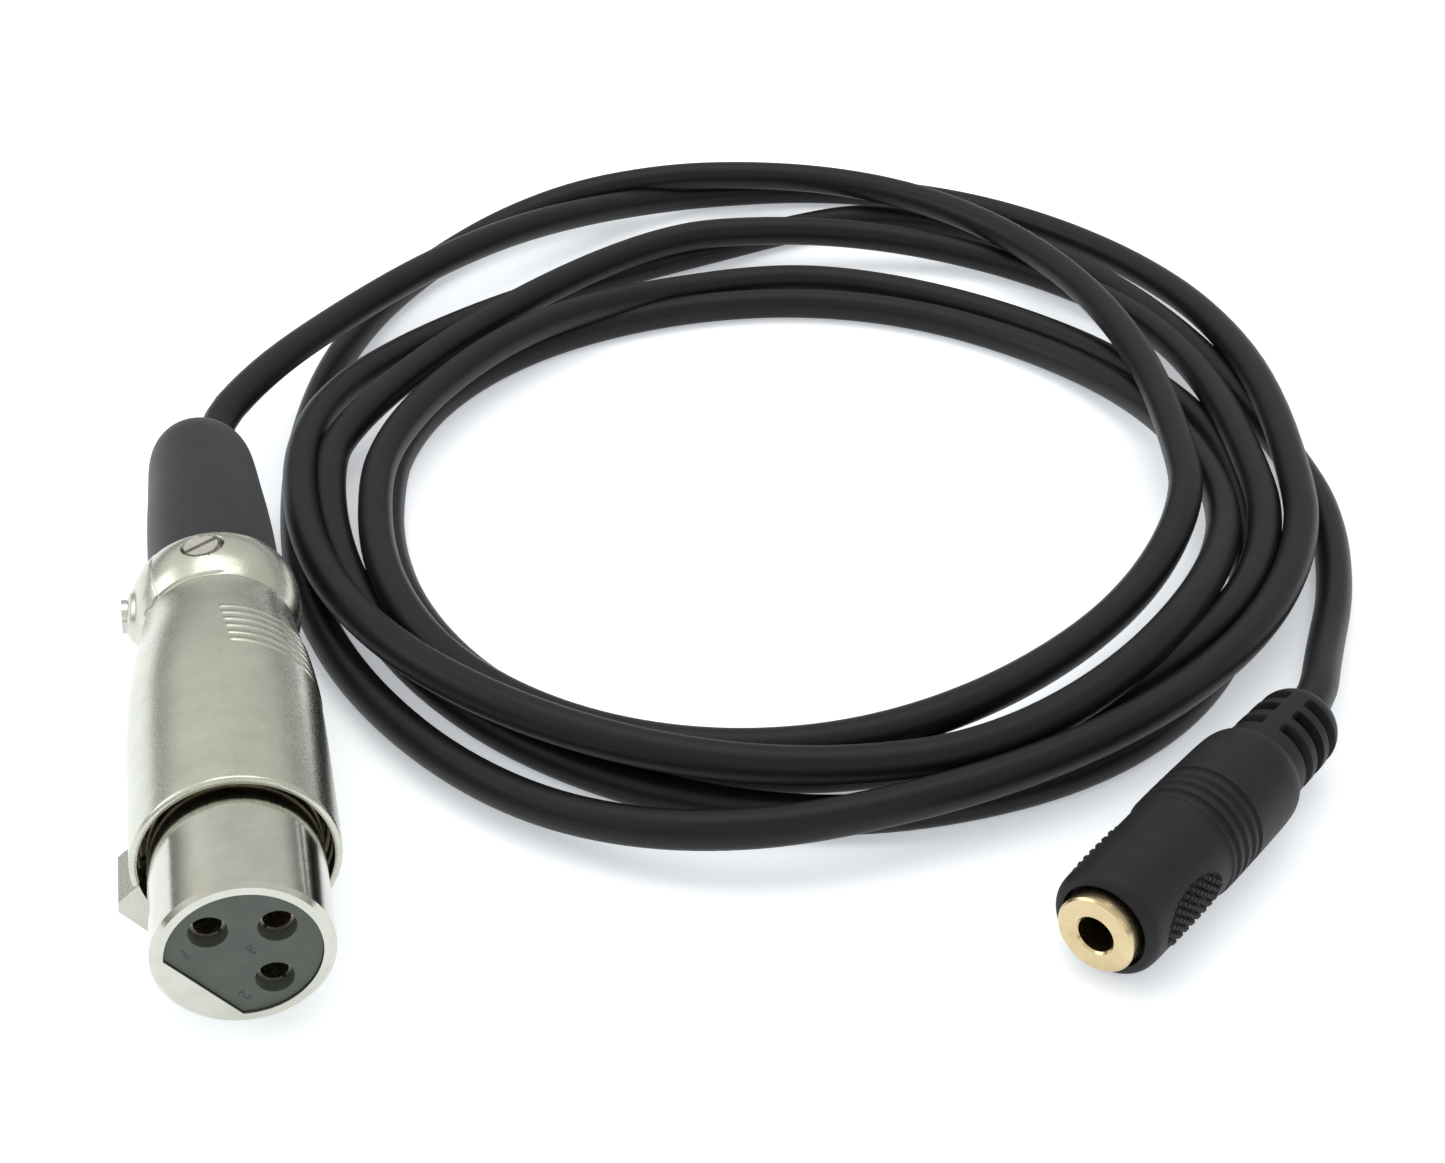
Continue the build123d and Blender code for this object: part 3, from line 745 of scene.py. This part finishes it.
def jack_relief(along, angle, radius):
    """Four rounded grooves, a patch of knurling on each side, and slots between two spines."""
    outside = radius > 4.42
    for groove in GROOVES:
        dip = bump_at(np.abs(along - groove), 0.36)
        radius = radius - np.where(outside & (along < 25), GROOVE_CUT * dip, 0)
    for side in (0.0, 180.0):
        across = turn_from(angle, side) * 5.45
        patch = ((along - KNURL_MIDDLE) / 4.9) ** 2 + (across / 2.9) ** 2
        inside = step_at(-patch, -1.0, 0.12)
        u = (along + across * 1.15) / KNURL_PITCH
        v = (along - across * 1.15) / KNURL_PITCH
        peak = np.minimum(np.abs(u % 1 - 0.5), np.abs(v % 1 - 0.5)) * 2
        knurl = -0.34 + 0.5 * np.clip(peak * 2.2, 0, 1)
        radius = radius + np.where(outside & (along < 13.4), inside * knurl, 0)
    from_spine = np.minimum(
        np.abs(turn_from(angle, 90)) * radius, np.abs(turn_from(angle, 270)) * radius
    )
    for slot in SLOTS:
        along_slot = step_at(-np.abs(along - slot), -0.62, 0.22)
        open_ = along_slot * step_at(from_spine, 1.05, 0.3)
        deep = np.minimum(radius, SLOT_FLOOR)
        radius = np.where(along > 31.5, radius * (1 - open_) + deep * open_, radius)
    return along, radius


jack_outside = [
    (1.5, 4.3),
    *bend([(1.5, 4.62), (1.62, 4.95), (1.95, 5.22), (2.5, 5.38), (4.0, 5.44), (9.0, 5.46),
           (15.0, 5.5)]),
    *bend([(15.3, 5.56), (15.7, 5.72), (18.0, 5.74), (21.4, 5.72), (24.0, 5.68), (27.0, 5.62),
           (28.6, 5.48), (29.6, 5.15), (30.1, 4.75), (30.3, 4.55), (31.4, 4.5), (36.0, 4.42),
           (38.9, 4.3), (40.2, 3.9), (41.1, 3.2), (41.45, 2.45)]),
]
jack_inside = [(41.5, 2.02), (31.0, 2.02), (31.0, 4.25), (12.0, 4.25), (12.0, 3.05),
               (3.0, 3.05), (3.0, 4.32)]
jack_body = turned(
    "jack_overmould_skin",
    resample(jack_outside, 0.12) + resample(jack_inside, 1.2) + [jack_outside[0]],
    jack_frame,
    300,
    jack_relief,
)
shade_by_angle(jack_body, 50)
paint(jack_body, jack_plastic)
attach(jack_body, "connector")
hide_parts("jack_overmould")


# ---- numbers beside the contacts ---------------------------------------------------------
digit_ink = surface(
    "digit_relief", (0.034, 0.04, 0.035), (0.046, 0.052, 0.046), (0.3, 0.42), blotch=900.0
)
# Each digit's x and z from the connector's axis in millimetres, and its turn in degrees.
DIGITS = {"1": (-4.9, 0.8, 205.0), "2": (-0.5, -4.8, 213.0), "3": (0.6, 0.3, 206.0)}
for digit, (x, z, turn) in DIGITS.items():
    text = bpy.data.curves.new(f"pin_number_{digit}", "FONT")
    text.body = digit
    text.size = 1.6 * MM
    text.extrude = 0.04 * MM
    text.align_x = "CENTER"
    text.align_y = "CENTER"
    number = bpy.data.objects.new(f"pin_number_{digit}", text)
    bpy.context.scene.collection.objects.link(number)
    facing = Matrix(((1, 0, 0, 0), (0, 0, -1, 0), (0, 1, 0, 0), (0, 0, 0, 1)))
    number.matrix_world = (
        Matrix.Translation((axis_x + x * MM, face_y + 0.3 * MM, axis_z + z * MM))
        @ facing
        @ Matrix.Rotation(radians(turn), 4, "Z")
    )
    paint(number, digit_ink)
    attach(number, "connector")


# ---- stage --------------------------------------------------------------------------------
REACH = 6.0
floor_mesh = bpy.data.meshes.new("floor")
floor_mesh.from_pydata(
    [(-REACH, -REACH, 0), (REACH, -REACH, 0), (REACH, REACH, 0), (-REACH, REACH, 0)],
    [],
    [(0, 1, 2, 3)],
)
floor = bpy.data.objects.new("floor", floor_mesh)
bpy.context.scene.collection.objects.link(floor)
floor.location = (0, 0, -0.00002)
floor_paint, floor_nodes, floor_links = new_material("paper_floor")
floor_shader = floor_nodes.new("ShaderNodeBsdfPrincipled")
floor_shader.inputs["Roughness"].default_value = 0.75
floor_shader.inputs["Specular IOR Level"].default_value = 0.2
floor_shader.inputs["Emission Color"].default_value = (0.93, 0.96, 1.0, 1)
floor_shader.inputs["Emission Strength"].default_value = 0.4
floor_coords = floor_nodes.new("ShaderNodeTexCoord").outputs["Object"]
floor_links.new(
    ramp(
        floor_nodes,
        floor_links,
        noise(floor_nodes, floor_links, floor_coords, 40.0),
        ((0.3, (0.86, 0.885, 0.92)), (0.7, (0.875, 0.9, 0.93))),
    ),
    floor_shader.inputs["Base Color"],
)
floor_out = floor_nodes.new("ShaderNodeOutputMaterial")
floor_links.new(floor_shader.outputs["BSDF"], floor_out.inputs["Surface"])
paint(floor, floor_paint)


def softbox(name, place, target, width, height, power, colour):
    """A rectangular light that faces the target."""
    light = bpy.data.lights.new(name, "AREA")
    light.shape = "RECTANGLE"
    light.size = width
    light.size_y = height
    light.energy = power
    light.color = colour
    lamp = bpy.data.objects.new(name, light)
    lamp.location = place
    lamp.rotation_euler = (Vector(target) - Vector(place)).to_track_quat("-Z", "Y").to_euler()
    bpy.context.scene.collection.objects.link(lamp)


softbox("top_light", (0.1, 0.2, 0.8), (0.05, 0.05, 0), 0.8, 0.6, 2.2, (1.0, 0.99, 0.97))
softbox("left_light", (-0.8, 0.25, 0.45), (0, 0.05, 0.02), 0.6, 0.5, 1.6, (0.92, 0.98, 1.0))
softbox("front_light", (0.1, -0.9, 0.3), (0.03, 0, 0.01), 0.9, 0.4, 0.5, (1.0, 0.99, 0.97))


def studio_world():
    """A studio seen in the metal: bright above and to the left, dark low down on the right."""
    world = bpy.data.worlds.new("studio")
    bpy.context.scene.world = world
    world.use_nodes = True
    nodes_, links = world.node_tree.nodes, world.node_tree.links
    direction = nodes_.new("ShaderNodeTexCoord").outputs["Generated"]
    parts = []
    for way, low_at, high_at, amount in (
        ((0.12, 0, 1), -0.05, 0.42, 0.74),
        ((-0.95, 0.1, 0.3), 0.25, 0.95, 0.3),
        ((0.1, -1, 0.1), 0.4, 0.95, 0.12),
    ):
        dot = nodes_.new("ShaderNodeVectorMath")
        dot.operation = "DOT_PRODUCT"
        links.new(direction, dot.inputs[0])
        dot.inputs[1].default_value = way
        rising = nodes_.new("ShaderNodeMapRange")
        rising.interpolation_type = "SMOOTHSTEP"
        rising.inputs["From Min"].default_value = low_at
        rising.inputs["From Max"].default_value = high_at
        rising.inputs["To Max"].default_value = amount
        links.new(dot.outputs["Value"], rising.inputs["Value"])
        parts.append(rising.outputs["Result"])
    total = parts[0]
    for part in parts[1:]:
        add = nodes_.new("ShaderNodeMath")
        add.operation = "ADD"
        links.new(total, add.inputs[0])
        links.new(part, add.inputs[1])
        total = add.outputs["Value"]
    links.new(
        ramp(nodes_, links, total, ((0.0, (0.05, 0.052, 0.055)), (1.0, (1.0, 0.99, 0.955)))),
        nodes_["Background"].inputs["Color"],
    )


studio_world()

bpy.context.scene.view_settings.view_transform = "Standard"
bpy.context.scene.view_settings.look = "None"
